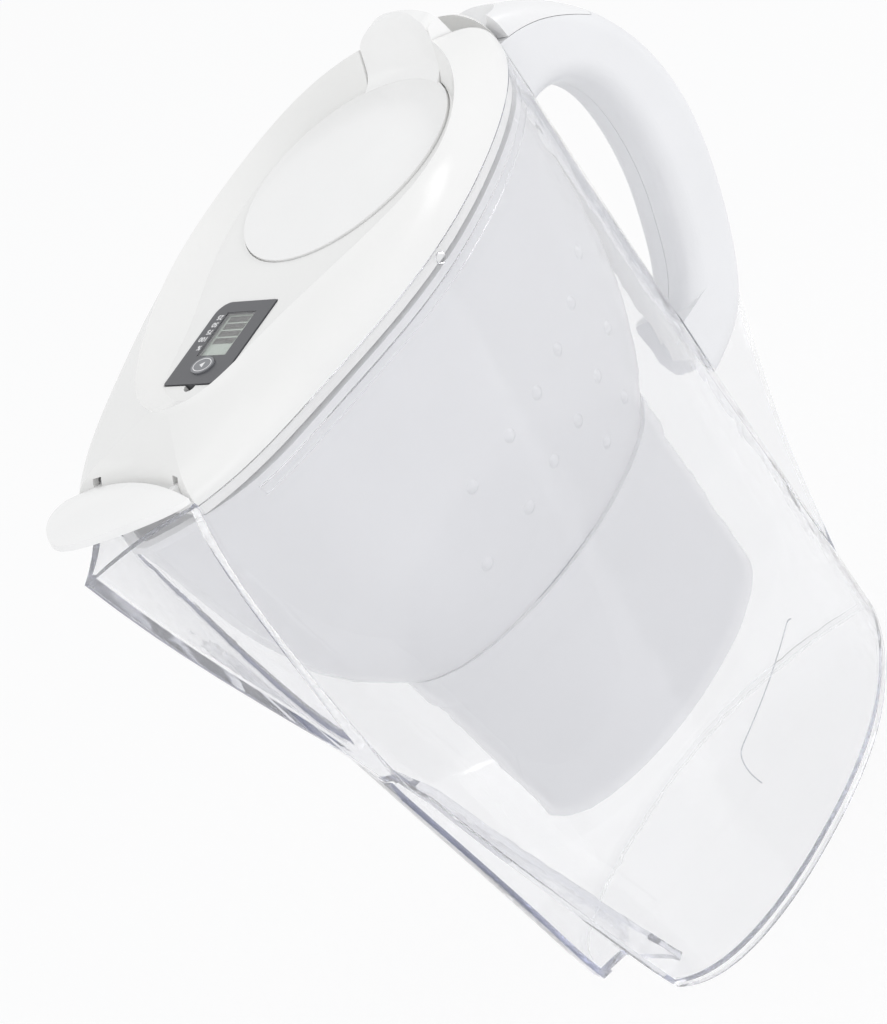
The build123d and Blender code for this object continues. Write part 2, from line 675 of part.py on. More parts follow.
def filter_granules():
    low = CARTRIDGE_LOW_Z + CARTRIDGE_WALL + SIEVE_THICK + 2 * SIEVE_GAP
    return fill_block(low, GRANULES_TOP_Z)


def cartridge_top_sieve():
    low = GRANULES_TOP_Z + SIEVE_GAP
    return fill_block(low, low + SIEVE_THICK)


def cartridge_cap():
    """Domed cap on the flange, with a row of slots and an upright pull ring"""
    low = FLANGE_TOP_Z
    top = low + CAP_HEIGHT
    a, b = cup_oval(low, FLANGE_DEPTH)
    outer = straight_oval(a, b, low, top, CUP_X) & Sphere(CAP_SPHERE_R).moved(
        Location((CUP_X, 0, top - CAP_SPHERE_R)))
    inner = straight_oval(a - CAP_WALL, b - CAP_WALL, low - 1.0, top, CUP_X) & Sphere(
        CAP_SPHERE_R - CAP_WALL).moved(Location((CUP_X, 0, top - CAP_SPHERE_R)))
    body = outer - inner
    a, b = cup_oval(low - 3.0, CARTRIDGE_DEPTH + CARTRIDGE_WALL + SIEVE_GAP)
    plug = straight_oval(a, b, low - 3.0, low + CAP_WALL, CUP_X)
    plug -= straight_oval(a - CAP_WALL, b - CAP_WALL, low - 4.0, low + CAP_WALL + 1.0, CUP_X)
    body += plug
    for cut in slots(CUP_X, CAP_SLOTS, CAP_SLOT_PITCH, CAP_SLOT_WIDTH, CAP_SLOT_LENGTH, low + 4.0, top + 1.0):
        if abs(cut.center().X - CUP_X) > PULL_RING_R + 2.0:
            body -= cut
    ring = Torus(PULL_RING_R, PULL_RING_WIRE).moved(Location((CUP_X, 0, top - 0.5), (90, 0, 0)))
    ring &= box_between(CUP_X - 20.0, CUP_X + 20.0, -5.0, 5.0, top - 1.2, top + 20.0)
    return body + ring


# Lid

def lid_rim():
    """Half outline of the lid at its base, with height"""
    rim = hull_points(RIM_Z, 0.0)[:-1] + [(LID_BACK_X, BACK_HALF)]
    return [(x, w, LID_BASE_Z) for x, w in rim]


def shell_level(rise, share, depth):
    """Half outline of the lid's outer surface and its front point, moved in and down by a depth"""
    place = []
    for (x0, w0, z0), (x1, w1, z1) in zip(lid_rim(), CREST):
        place.append((x0 + (x1 - x0) * share, w0 + (w1 - w0) * share, z0 + (z1 - z0) * rise))
    moved = inset([(x, w) for x, w, z in place], depth)
    place = [(x, w, z - depth) for (x, w), (x0, w0, z) in zip(moved, place)]
    front_x = LID_FRONT_X + (CREST_TIP[0] - LID_FRONT_X) * share + depth
    front_z = LID_BASE_Z + (CREST_TIP[1] - LID_BASE_Z) * rise - depth
    return place, (front_x, front_z)


def flat_crest(depth, level):
    """Crest outline at one height, moved in by a depth"""
    points = inset([(x, w) for x, w, z in CREST], depth)
    return closed_outline(points, level, CREST_TIP[0] + depth)


def lid_dome(depth):
    """Outer form of the lid up to a flat top above its crest, moved in by a depth"""
    wires = [closed_ring(*shell_level(rise, share, depth)) for rise, share in LID_LEVELS]
    wires.append(flat_crest(CROWN_IN + depth, CROWN_Z - depth))
    return loft_of(wires)


def bowl(depth):
    """Bowl inside the crest and the space above it, grown and lowered by a depth"""
    floor = [(x, w, BOWL_Z) for x, w in BOWL_FLOOR]
    wires = []
    for rise, share in ((0.0, 0.0), (BOWL_MID_RISE, BOWL_MID_SHARE), (1.0, 1.0)):
        place = []
        for (x0, w0, z0), (x1, w1, z1) in zip(floor, CREST):
            place.append((x0 + (x1 - x0) * share, w0 + (w1 - w0) * share, z0 + (z1 - z0) * rise))
        moved = inset([(x, w) for x, w, z in place], -depth)
        place = [(x, w, z - depth) for (x, w), (x0, w0, z) in zip(moved, place)]
        tip_x = BOWL_FLOOR_TIP_X + (CREST_TIP[0] - BOWL_FLOOR_TIP_X) * share - depth
        tip_z = BOWL_Z + (CREST_TIP[1] - BOWL_Z) * rise - depth
        wires.append(closed_ring(place, (tip_x, tip_z)))
    wires.append(flat_crest(-CROWN_OUT - depth, CROWN_Z + 1.0))
    return loft_of(wires)


def lid_ring(depth0, depth1, z0, z1):
    """Level ring that follows the lid's base between two insets"""
    def plan(depth, z):
        points = inset([(x, w) for x, w, z0 in lid_rim()], depth)
        return closed_outline(points, z, LID_FRONT_X + depth)
    outer = loft_of([plan(depth0, z0), plan(depth0, z1)], True)
    return outer - loft_of([plan(depth1, z0 - 1.0), plan(depth1, z1 + 1.0)], True)


def lid_skirt():
    """Plug skirt down inside the jug's rim, open where the tongue comes over"""
    def plan(depth, z):
        return closed_outline(hull_points(RIM_Z, depth), z)
    top = LID_BASE_Z + BRIM_THICK / 2
    skirt = loft_of([plan(SKIRT_INSET, SKIRT_LOW_Z), plan(SKIRT_INSET, top)], True)
    skirt -= loft_of([plan(SKIRT_INSET + SKIRT_WALL, SKIRT_LOW_Z - 1.0),
                      plan(SKIRT_INSET + SKIRT_WALL, top + 1.0)], True)
    return skirt - box_between(76.0, 100.0, -TONGUE_HALF - 1.0, TONGUE_HALF + 1.0, SKIRT_LOW_Z - 1.0, LID_BASE_Z)


def meter_outline(grow):
    """Plan of the indicator: two opposite corners nearly sharp, the other two well rounded"""
    half_x = METER_LENGTH / 2 + grow
    half_y = METER_WIDTH / 2 + grow
    face = Face(Wire.make_polygon([(-half_x, -half_y, 0), (half_x, -half_y, 0), (half_x, half_y, 0),
                                   (-half_x, half_y, 0)]))
    for vertex in face.vertices():
        soft = vertex.X * vertex.Y > 0
        radius = (METER_ROUND if soft else METER_CORNER) + grow
        corner = [v for v in face.vertices() if abs(v.X - vertex.X) < 0.01 and abs(v.Y - vertex.Y) < 0.01]
        face = fillet(corner, max(radius, 0.2)).face()
    return face


def meter_block(grow, z0, z1):
    return extrude(meter_outline(grow).moved(Location((METER_X, 0, z0))), z1 - z0, dir=(0, 0, 1))


def lid_shell():
    outer = lid_dome(0.0)
    cavity = lid_dome(LID_WALL) - bowl(LID_WALL)
    body = outer - bowl(0.0)
    body -= cavity
    body -= oval_hole()
    meter_low = METER_TOP_Z - METER_DEPTH - SEAT_GAP
    half = TAB_HALF + TAB_GAP
    extra = box_between(POCKET_X - 2.5, 95.0, -half - EAR_WALL, half + EAR_WALL, LID_BASE_Z, 285.0)
    slot_low = ARM_INNER_Y - ARM_SLOT_GAP
    for side in (-1, 1):
        low, high = sorted((side * (slot_low - SPOUT_EAR_WIDTH), side * slot_low))
        extra += box_between(-110.0, ARM_SLOT_X, low, high, LID_BASE_Z, SPOUT_EAR_TOP_Z)
    body += (extra & outer) - bowl(0.0)
    body += lid_ring(0.0, BRIM_WIDTH, LID_BASE_Z, LID_BASE_Z + BRIM_THICK)
    body += meter_block(METER_GAP + TUB_WALL, meter_low - TUB_FLOOR, BOWL_Z)
    body -= meter_block(METER_GAP, meter_low, 275.0)
    notch_x = METER_X - METER_LENGTH / 2 - METER_GAP
    body -= Cylinder(FINGER_NOTCH_R, 20.0, align=(Align.CENTER, Align.CENTER, Align.MIN)).moved(
        Location((notch_x, 0, METER_TOP_Z - FINGER_NOTCH_DEPTH)))
    body -= oval_hole()
    axis_x, axis_z = FLAP_AXIS
    pocket = cross_pin(POCKET_R, axis_x, axis_z, -half, half)
    pocket &= box_between(POCKET_X, axis_x + POCKET_R, -half, half, POCKET_LOW_Z, 285.0)
    body -= pocket
    body -= box_between(FLAP_X + 26.0, axis_x + 5.0, -half, half, FLAP_LOW_Z - SEAT_GAP, 285.0)
    bore = FLAP_PIN_R + RUNNING_GAP
    body -= cross_pin(bore, axis_x, axis_z, -half - FLAP_PIN_LENGTH - SEAT_GAP, half + FLAP_PIN_LENGTH + SEAT_GAP)
    body += lid_skirt()
    for side in (-1, 1):
        low, high = sorted((side * slot_low, side * (ARM_OUTER_Y + ARM_SLOT_GAP)))
        body -= box_between(-110.0, ARM_SLOT_X, low, high, LID_BASE_Z - 1.0, ARM_SLOT_TOP_Z)
        low, high = sorted((side * (ARM_INNER_Y - SPOUT_PIN_LENGTH - SEAT_GAP), side * ARM_OUTER_Y))
        body -= cross_pin(SPOUT_PIN_R + RUNNING_GAP, SPOUT_AXIS[0], SPOUT_AXIS[1], low, high)
    return body


def oval_hole():
    """Refill opening with the ledge that the flap comes down on"""
    low = FLAP_LOW_Z - SEAT_GAP
    rebate = straight_oval(FLAP_A + FLAP_GAP, FLAP_B + FLAP_GAP, low, CROWN_Z, FLAP_X)
    return rebate + straight_oval(FLAP_A - FLAP_LEDGE, FLAP_B - FLAP_LEDGE, 235.0, low + 1.0, FLAP_X)


def refill_flap():
    """Crowned oval flap with its upright thumb tab and two hinge pins"""
    crown = FLAP_EDGE_Z + FLAP_CROWN
    radius = (FLAP_A ** 2 + FLAP_CROWN ** 2) / (2 * FLAP_CROWN)
    disc = straight_oval(FLAP_A, FLAP_B, FLAP_LOW_Z, crown + 2.0, FLAP_X)
    disc &= Sphere(radius).moved(Location((FLAP_X, 0, crown - radius)))
    inner = straight_oval(FLAP_A - FLAP_THICK, FLAP_B - FLAP_THICK, FLAP_LOW_Z - 1.0, crown + 2.0, FLAP_X)
    inner &= Sphere(radius - FLAP_THICK).moved(Location((FLAP_X, 0, crown - radius)))
    edge = Spline(*[(x, 0, z) for x, z in TAB_PROFILE])
    turn_x = FLAP_X + FLAP_A - FLAP_B ** 2 / FLAP_A
    tab = revolve(Face(Wire([edge, Line(edge @ 1, edge @ 0)])), Axis((turn_x, 0, 0), (0, 0, 1)), 90.0)
    tab = tab.rotate(Axis((turn_x, 0, 0), (0, 0, 1)), -45.0)
    rise = TAB_TOP_Z - TAB_SHOULDER_Z
    turns = [math.radians(15.0 * i) for i in range(13)]
    arch = Spline(*[(TAB_HALF * math.cos(t), rise * math.sin(t)) for t in turns], tangents=((0, 1), (0, -1)))
    base = Polyline((-TAB_HALF, 0), (-TAB_HALF, -20), (TAB_HALF, -20), (TAB_HALF, 0))
    gate = extrude(Face(Wire([arch] + list(base.edges()))), 15.0, dir=(0, 0, 1), both=True)
    tab &= gate.moved(Location(Plane((FLAP_AXIS[0], 0, TAB_SHOULDER_Z), x_dir=(0, 1, 0), z_dir=(1, 0, 0))))
    body = disc - inner + tab
    axis_x, axis_z = FLAP_AXIS
    reach = TAB_HALF + TAB_GAP + FLAP_PIN_LENGTH
    return body + cross_pin(FLAP_PIN_R, axis_x, axis_z, -reach, reach)


def spout_flap():
    """Domed flap over the spout with two hinge arms"""
    def plan(depth, z):
        place = inset(SPOUT_FLAP_EDGE, depth)
        place.append((SPOUT_FLAP_REAR[0] - depth, place[-1][1]))
        near = Spline(*[(x, -w, z) for x, w in place])
        far = Spline(*[(x, w, z) for x, w in reversed(place)])
        root0 = Vector(SPOUT_FLAP_REAR[0] - depth, -SPOUT_FLAP_REAR[1], z)
        root1 = Vector(SPOUT_FLAP_REAR[0] - depth, SPOUT_FLAP_REAR[1], z)
        rear = ThreePointArc(root0, (SPOUT_FLAP_BACK_X - depth, 0, z), root1)
        return Wire([near, Line(near @ 1, root0), rear, Line(root1, far @ 0), far, Line(far @ 1, near @ 0)])
    middle = Location((SPOUT_FLAP_BACK_X - 2.0, 0, SPOUT_FLAP_TOP_Z - SPOUT_FLAP_SPHERE))
    body = loft_of([plan(0.0, SPOUT_FLAP_LOW_Z), plan(0.0, 260.0)], True) & Sphere(SPOUT_FLAP_SPHERE).moved(middle)
    hollow = loft_of([plan(SPOUT_FLAP_WALL, SPOUT_FLAP_LOW_Z - 1.0), plan(SPOUT_FLAP_WALL, 260.0)], True)
    body -= hollow & Sphere(SPOUT_FLAP_SPHERE - SPOUT_FLAP_WALL).moved(middle)
    axis_x, axis_z = SPOUT_AXIS
    for side in (-1, 1):
        low, high = sorted((side * ARM_INNER_Y, side * ARM_OUTER_Y))
        body += box_between(SPOUT_FLAP_REAR[0], axis_x, low, high, SPOUT_FLAP_LOW_Z, axis_z + ARM_R - 0.5)
        body += cross_pin(ARM_R, axis_x, axis_z, low, high)
        low, high = sorted((side * (ARM_INNER_Y - SPOUT_PIN_LENGTH), side * ARM_OUTER_Y))
        body += cross_pin(SPOUT_PIN_R, axis_x, axis_z, low, high)
    return body.rotate(Axis((axis_x, 0, axis_z), (0, 1, 0)), SPOUT_FLAP_OPEN)


# Indicator

METER_LOW_Z = METER_TOP_Z - METER_DEPTH
PLATE_LOW_Z = METER_TOP_Z - METER_WALL


def window_box(grow, z0, z1):
    half_x = WINDOW_LENGTH / 2 + grow
    half_y = WINDOW_WIDTH / 2 + grow
    return box_between(WINDOW_X - half_x, WINDOW_X + half_x, -half_y, half_y, z0, z1)


def indicator_bezel():
    body = meter_block(0.0, METER_LOW_Z, METER_TOP_Z)
    body -= meter_block(-METER_WALL, METER_LOW_Z - 1.0, PLATE_LOW_Z)
    body -= window_box(0.0, PLATE_LOW_Z - 1.0, METER_TOP_Z + 1.0)
    body -= window_box(WINDOW_LEDGE, METER_TOP_Z - WINDOW_THICK, METER_TOP_Z + 1.0)
    return body - straight_oval(BUTTON_A + RUNNING_GAP, BUTTON_B + RUNNING_GAP, PLATE_LOW_Z - 1.0,
                                METER_TOP_Z + 1.0, BUTTON_X)


def indicator_window():
    return window_box(WINDOW_LEDGE - RUNNING_GAP, METER_TOP_Z - WINDOW_THICK, METER_TOP_Z - 0.1)


LCD_TOP_Z = PLATE_LOW_Z - 0.3
BOARD_TOP_Z = BOARD_LOW_Z + BOARD_THICK


def lcd_panel():
    half_x = WINDOW_LENGTH / 2 + WINDOW_LEDGE
    half_y = WINDOW_WIDTH / 2 + LCD_MARGIN
    return box_between(WINDOW_X - half_x, WINDOW_X + half_x, -half_y, half_y, LCD_TOP_Z - LCD_THICK, LCD_TOP_Z)


def lcd_connector():
    half_y = WINDOW_WIDTH / 2
    x = WINDOW_X + WINDOW_LENGTH / 2 - CONNECTOR_WIDTH
    return box_between(x, x + CONNECTOR_WIDTH, -half_y, half_y, BOARD_TOP_Z + PIECE_GAP,
                       LCD_TOP_Z - LCD_THICK - PIECE_GAP)


def start_button():
    low = PLATE_LOW_Z - PIECE_GAP
    stem = straight_oval(BUTTON_A, BUTTON_B, low - 1.0, METER_TOP_Z + BUTTON_PROUD, BUTTON_X)
    foot = straight_oval(BUTTON_A - 0.2, BUTTON_B + BUTTON_EAR, METER_TOP_Z - BUTTON_DROP, low, BUTTON_X)
    return stem + foot


def button_dome():
    radius = (DOME_R ** 2 + DOME_HEIGHT ** 2) / (2 * DOME_HEIGHT)
    low = BOARD_TOP_Z + PIECE_GAP
    ball = Sphere(radius).moved(Location((BUTTON_X, 0, low + DOME_HEIGHT - radius)))
    return ball & box_between(BUTTON_X - 5.0, BUTTON_X + 5.0, -5.0, 5.0, low, low + 5.0)


def circuit_board():
    return meter_block(-METER_WALL - SEAT_GAP, BOARD_LOW_Z, BOARD_TOP_Z)


def button_cell():
    top = BOARD_LOW_Z - PIECE_GAP
    return Cylinder(CELL_R, CELL_THICK, align=(Align.CENTER, Align.CENTER, Align.MAX)).moved(
        Location((CELL_X, 0, top)))


def battery_contact():
    top = BOARD_LOW_Z - CELL_THICK - 2 * PIECE_GAP
    return box_between(CELL_X - CELL_R, CELL_X + CELL_R, -CONTACT_HALF, CONTACT_HALF, top - CONTACT_THICK, top)


def indicator_back_cover():
    return meter_block(-METER_WALL - PIECE_GAP, METER_LOW_Z, METER_LOW_Z + COVER_THICK)


def indicator_seal():
    low = METER_LOW_Z + COVER_THICK
    ring = meter_block(-METER_WALL - PIECE_GAP, low, low + METER_SEAL_HEIGHT)
    return ring - meter_block(-METER_WALL - PIECE_GAP - METER_SEAL_WIDTH, low - 1.0, low + 2.0)


if __name__ == "__main__":
    os.makedirs("parts", exist_ok=True)
    grip = handle_block()
    pieces = {
        "jug_body": jug_body(),
        "handle_cap": handle_cap(grip),
        "handle_shell_left": handle_shell(grip, -1),
        "handle_shell_right": handle_shell(grip, 1),
        "funnel": funnel(),
        "cartridge_housing": cartridge_housing(),
        "cartridge_cap": cartridge_cap(),
        "cartridge_seal_ring": cartridge_seal_ring(),
        "cartridge_top_sieve": cartridge_top_sieve(),
        "cartridge_bottom_sieve": cartridge_bottom_sieve(),
        "filter_granules": filter_granules(),
        "lid_shell": lid_shell(),
        "refill_flap": refill_flap(),
        "spout_flap": spout_flap(),
        "indicator_bezel": indicator_bezel(),
        "indicator_window": indicator_window(),
        "lcd_panel": lcd_panel(),
        "lcd_connector": lcd_connector(),
        "start_button": start_button(),
        "button_dome": button_dome(),
        "circuit_board": circuit_board(),
        "button_cell": button_cell(),
        "battery_contact": battery_contact(),
        "indicator_seal": indicator_seal(),
        "indicator_back_cover": indicator_back_cover(),
    }
    for name, piece in pieces.items():
        export_step(piece, f"parts/{name}.step")
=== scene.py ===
import math
import bmesh
import bpy
from mathutils import Matrix, Vector


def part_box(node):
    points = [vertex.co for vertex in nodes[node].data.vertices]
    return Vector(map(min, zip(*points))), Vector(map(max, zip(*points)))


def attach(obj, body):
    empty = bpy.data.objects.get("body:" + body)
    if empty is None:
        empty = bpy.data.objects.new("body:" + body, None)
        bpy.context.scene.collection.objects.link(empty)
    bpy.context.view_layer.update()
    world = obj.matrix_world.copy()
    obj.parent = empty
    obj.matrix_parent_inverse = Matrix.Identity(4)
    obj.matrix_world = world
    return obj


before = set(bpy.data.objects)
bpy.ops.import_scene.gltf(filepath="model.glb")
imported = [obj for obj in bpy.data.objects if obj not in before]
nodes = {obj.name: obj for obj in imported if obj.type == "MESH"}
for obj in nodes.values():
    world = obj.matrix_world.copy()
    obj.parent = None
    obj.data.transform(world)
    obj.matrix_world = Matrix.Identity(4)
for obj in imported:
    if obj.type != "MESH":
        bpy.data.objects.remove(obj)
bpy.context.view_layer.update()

scene = bpy.context.scene

# Camera
# It looks down on the pitcher from its near side, a little from the spout, and is rolled so that the
# pitcher leans as if it was about to pour.
CAMERA_TURN = math.radians(29.99)
CAMERA_DROP = math.radians(28.95)
CAMERA_ROLL = math.radians(40.56)
CAMERA_AIM = Vector((-0.02923, 0.0, 0.15904))
CAMERA_FAR = 1.27617
CAMERA_LENS = 148.36

level = Vector((math.cos(CAMERA_TURN), -math.sin(CAMERA_TURN), 0.0))
ahead = Vector((math.sin(CAMERA_TURN) * math.cos(CAMERA_DROP),
                math.cos(CAMERA_TURN) * math.cos(CAMERA_DROP),
                -math.sin(CAMERA_DROP)))
above = level.cross(ahead)
right = math.cos(CAMERA_ROLL) * level - math.sin(CAMERA_ROLL) * above
up = math.sin(CAMERA_ROLL) * level + math.cos(CAMERA_ROLL) * above
axes = Matrix((right, up, -ahead)).transposed().to_4x4()
lens = bpy.data.cameras.new("camera")
lens.sensor_width = 36.0
lens.lens = CAMERA_LENS
lens.clip_start = 0.05
camera = bpy.data.objects.new("camera", lens)
camera.matrix_world = Matrix.Translation(CAMERA_AIM - CAMERA_FAR * ahead) @ axes
scene.collection.objects.link(camera)
scene.camera = camera

# Studio
# A white floor that runs out of sight, a white room and three soft lamps. The floor is seen as white
# paper that still takes a soft shadow.
FLOOR_REACH = 6.0
FLOOR_BELOW = 0.0004
PAPER_COLOUR = (0.9, 0.9, 0.91, 1)
PAPER_GLOW = 0.86
ROOM_COLOUR = (0.97, 0.98, 1.0, 1)
ROOM_LIGHT = 0.76
BACKDROP_COLOUR = (1.0, 1.0, 1.0, 1)
LAMP_TARGET = Vector((0.0, 0.0, 0.15))
WALL_BOUNCES = 32
SKIN_BOUNCES = 40

scene.view_settings.view_transform = "Standard"
scene.cycles.transparent_max_bounces = SKIN_BOUNCES
scene.cycles.max_bounces = WALL_BOUNCES
scene.cycles.transmission_bounces = WALL_BOUNCES
scene.cycles.glossy_bounces = WALL_BOUNCES


def into_scene(name, mesh):
    """Puts a finished mesh into the scene as a piece of that name"""
    piece = bpy.data.objects.new(name, mesh)
    scene.collection.objects.link(piece)
    return piece


def shaped(name, shape, material):
    """Puts a finished bmesh into the scene in one material"""
    mesh = bpy.data.meshes.new(name)
    shape.to_mesh(mesh)
    shape.free()
    mesh.materials.append(material)
    return into_scene(name, mesh)


def any_ray(net, *kinds):
    """Socket that is 1 for rays of any of these kinds, and 0 for others"""
    path = net.nodes.new("ShaderNodeLightPath")
    found = path.outputs[kinds[0]]
    for kind in kinds[1:]:
        either = net.nodes.new("ShaderNodeMath")
        either.operation = "MAXIMUM"
        net.links.new(found, either.inputs[0])
        net.links.new(path.outputs[kind], either.inputs[1])
        found = either.outputs[0]
    return found


WHITE_RAYS = ("Is Camera Ray", "Is Glossy Ray", "Is Transmission Ray")

paper = bpy.data.materials.new("white_paper")
paper.use_nodes = True
net = paper.node_tree
card = net.nodes["Principled BSDF"]
card.inputs["Base Color"].default_value = PAPER_COLOUR
card.inputs["Roughness"].default_value = 0.9
card.inputs["Specular IOR Level"].default_value = 0.1
white = net.nodes.new("ShaderNodeEmission")
share = net.nodes.new("ShaderNodeMath")
share.operation = "MULTIPLY"
share.inputs[1].default_value = PAPER_GLOW
sheet = net.nodes.new("ShaderNodeMixShader")
net.links.new(any_ray(net, *WHITE_RAYS), share.inputs[0])
net.links.new(share.outputs[0], sheet.inputs[0])
net.links.new(card.outputs[0], sheet.inputs[1])
net.links.new(white.outputs[0], sheet.inputs[2])
net.links.new(sheet.outputs[0], net.nodes["Material Output"].inputs["Surface"])

shape = bmesh.new()
bmesh.ops.create_grid(shape, x_segments=1, y_segments=1, size=FLOOR_REACH)
bmesh.ops.translate(shape, verts=shape.verts, vec=(0.0, 0.0, -FLOOR_BELOW))
floor = shaped("floor", shape, paper)

room = bpy.data.worlds.new("room")
room.use_nodes = True
net = room.node_tree
glow = net.nodes["Background"]
glow.inputs["Color"].default_value = ROOM_COLOUR
glow.inputs["Strength"].default_value = ROOM_LIGHT
backdrop = net.nodes.new("ShaderNodeBackground")
backdrop.inputs["Color"].default_value = BACKDROP_COLOUR
both = net.nodes.new("ShaderNodeMixShader")
net.links.new(any_ray(net, *WHITE_RAYS), both.inputs[0])
net.links.new(glow.outputs[0], both.inputs[1])
net.links.new(backdrop.outputs[0], both.inputs[2])
net.links.new(both.outputs[0], net.nodes["World Output"].inputs["Surface"])
scene.world = room


def soft_box(name, place, size, watts, colour):
    """Square soft lamp that faces the middle of the pitcher"""
    lamp = bpy.data.lights.new(name, "AREA")
    lamp.size = size
    lamp.energy = watts
    lamp.color = colour
    box = bpy.data.objects.new(name, lamp)
    box.location = place
    box.rotation_euler = (LAMP_TARGET - box.location).to_track_quat("-Z", "Y").to_euler()
    scene.collection.objects.link(box)


soft_box("top_box", (-0.5, 0.45, 1.35), 1.0, 2.2, (1.0, 0.99, 0.975))
soft_box("side_box", (1.25, -1.0, 0.75), 0.7, 6.2, (1.0, 0.99, 0.985))
soft_box("spout_box", (-0.95, -1.05, 0.6), 0.9, 3.0, (1.0, 0.99, 0.985))

# Jug
# One clear injection moulding with spout, front groove, foot, fin and the web of the handle. Its wall
# bends light and looks bare where it is thin, and blue grey where the eye looks along it.
CLEAR_IOR = 1.49
CLEAR_TINT = (0.40, 0.43, 0.57)
CLEAR_DENSITY = 14.0
CLEAR_ROUGH = 0.015
CLEAR_COVER = 0.955
CLOUD_SCALE = 22.0
ROUGH_DRIFT = 0.14
PORE_STRENGTH = 0.25


def dress(name, material):
    """Gives a piece of the frame its finish, and leaves its mesh alone"""
    for fitting in nodes[name].material_slots:
        fitting.link = "OBJECT"
        fitting.material = material


def plastic(name, colour, rough, drift=0.02, grain=0.00006, grain_scale=900.0):
    """Moulded plastic: colour and gloss drift a little over the piece, and a fine grain breaks the gloss"""
    mat = bpy.data.materials.new(name)
    mat.use_nodes = True
    net = mat.node_tree
    skin = net.nodes["Principled BSDF"]
    where = net.nodes.new("ShaderNodeTexCoord")
    cloud = net.nodes.new("ShaderNodeTexNoise")
    cloud.inputs["Scale"].default_value = CLOUD_SCALE
    cloud.inputs["Detail"].default_value = 3.0
    tint = net.nodes.new("ShaderNodeValToRGB")
    dark, pale = tint.color_ramp.elements
    dark.position = 0.3
    pale.position = 0.7
    dark.color = tuple(part * (1 - drift) for part in colour) + (1,)
    pale.color = tuple(min(part * (1 + drift), 1.0) for part in colour) + (1,)
    gloss = net.nodes.new("ShaderNodeMapRange")
    gloss.inputs["To Min"].default_value = rough * (1 - ROUGH_DRIFT)
    gloss.inputs["To Max"].default_value = min(rough * (1 + ROUGH_DRIFT), 1.0)
    pores = net.nodes.new("ShaderNodeTexNoise")
    pores.inputs["Scale"].default_value = grain_scale
    pores.inputs["Detail"].default_value = 2.0
    bump = net.nodes.new("ShaderNodeBump")
    bump.inputs["Strength"].default_value = PORE_STRENGTH
    bump.inputs["Distance"].default_value = grain
    net.links.new(where.outputs["Object"], cloud.inputs["Vector"])
    net.links.new(where.outputs["Object"], pores.inputs["Vector"])
    net.links.new(cloud.outputs["Fac"], tint.inputs["Fac"])
    net.links.new(cloud.outputs["Fac"], gloss.inputs["Value"])
    net.links.new(tint.outputs["Color"], skin.inputs["Base Color"])
    net.links.new(gloss.outputs["Result"], skin.inputs["Roughness"])
    net.links.new(pores.outputs["Fac"], bump.inputs["Height"])
    net.links.new(bump.outputs["Normal"], skin.inputs["Normal"])
    return mat


def clear_plastic(name, tint, density):
    """Clear polished plastic, tinted by its depth; lamps shine through it"""
    mat = plastic(name, (1.0, 1.0, 1.0), CLEAR_ROUGH, drift=0.01, grain=0.000012, grain_scale=160.0)
    net = mat.node_tree
    skin = net.nodes["Principled BSDF"]
    skin.inputs["IOR"].default_value = CLEAR_IOR
    skin.inputs["Transmission Weight"].default_value = 1.0
    skin.inputs["Alpha"].default_value = CLEAR_COVER
    depth = net.nodes.new("ShaderNodeVolumeAbsorption")
    depth.inputs["Color"].default_value = tint + (1,)
    depth.inputs["Density"].default_value = density
    through = net.nodes.new("ShaderNodeBsdfTransparent")
    lit = net.nodes.new("ShaderNodeMixShader")
    out = net.nodes["Material Output"]
    net.links.new(any_ray(net, "Is Shadow Ray", "Is Diffuse Ray"), lit.inputs[0])
    net.links.new(skin.outputs[0], lit.inputs[1])
    net.links.new(through.outputs[0], lit.inputs[2])
    net.links.new(lit.outputs[0], out.inputs["Surface"])
    net.links.new(depth.outputs[0], out.inputs["Volume"])
    return mat


dress("jug_body", clear_plastic("jug_clear", CLEAR_TINT, CLEAR_DENSITY))

# Rib on the jug
# A fine raised line low on the near wall, drawn round a bare panel at its upper edge and its front end.
# It is moulded with the wall, and lies on the wall's outer face.
RIB_PATH = [(0.0173, 0.0562), (0.0162, 0.0571), (0.0144, 0.0572), (0.0, 0.0551), (-0.0150, 0.0528),
            (-0.0255, 0.0512), (-0.0290, 0.0506), (-0.0311, 0.0498), (-0.0325, 0.0475), (-0.0330, 0.0435),
            (-0.0327, 0.0395), (-0.0320, 0.0363)]
RIB_R = 0.00022
RIB_TINT = (0.3, 0.33, 0.45)
RIB_DENSITY = 1100.0
NEAR_Y = -0.2


def near_wall(name, x, z):
    """Point where a piece's outer face is met from the near side"""
    return nodes[name].ray_cast(Vector((x, NEAR_Y, z)), Vector((0.0, 1.0, 0.0)))[1]


line = bpy.data.curves.new("panel_rib", "CURVE")
line.dimensions = "3D"
line.bevel_depth = RIB_R
line.bevel_resolution = 3
line.resolution_u = 4
run = line.splines.new("NURBS")
run.points.add(len(RIB_PATH) - 1)
for point, (x, z) in zip(run.points, RIB_PATH):
    point.co = (*near_wall("jug_body", x, z), 1.0)
run.order_u = 3
run.use_endpoint_u = True
line.use_fill_caps = True
drawn = bpy.data.objects.new("panel_rib_line", line)
rib = into_scene("panel_rib", bpy.data.meshes.new_from_object(drawn))
bpy.data.objects.remove(drawn)
rib.data.materials.clear()
rib.data.materials.append(clear_plastic("rib_clear", RIB_TINT, RIB_DENSITY))
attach(rib, "jug")

# Handle
# Two satin shells pinned together round the jug's web, and a glossy cap with the thumb scoop, whose
# tongue hooks over the rim of the jug.
handle_satin = plastic("handle_satin", (0.85, 0.853, 0.862), 0.36, grain=0.00009, grain_scale=1400.0)
dress("handle_shell_left", handle_satin)
dress("handle_shell_right", handle_satin)
dress("handle_cap", plastic("cap_gloss", (0.88, 0.88, 0.88), 0.24))

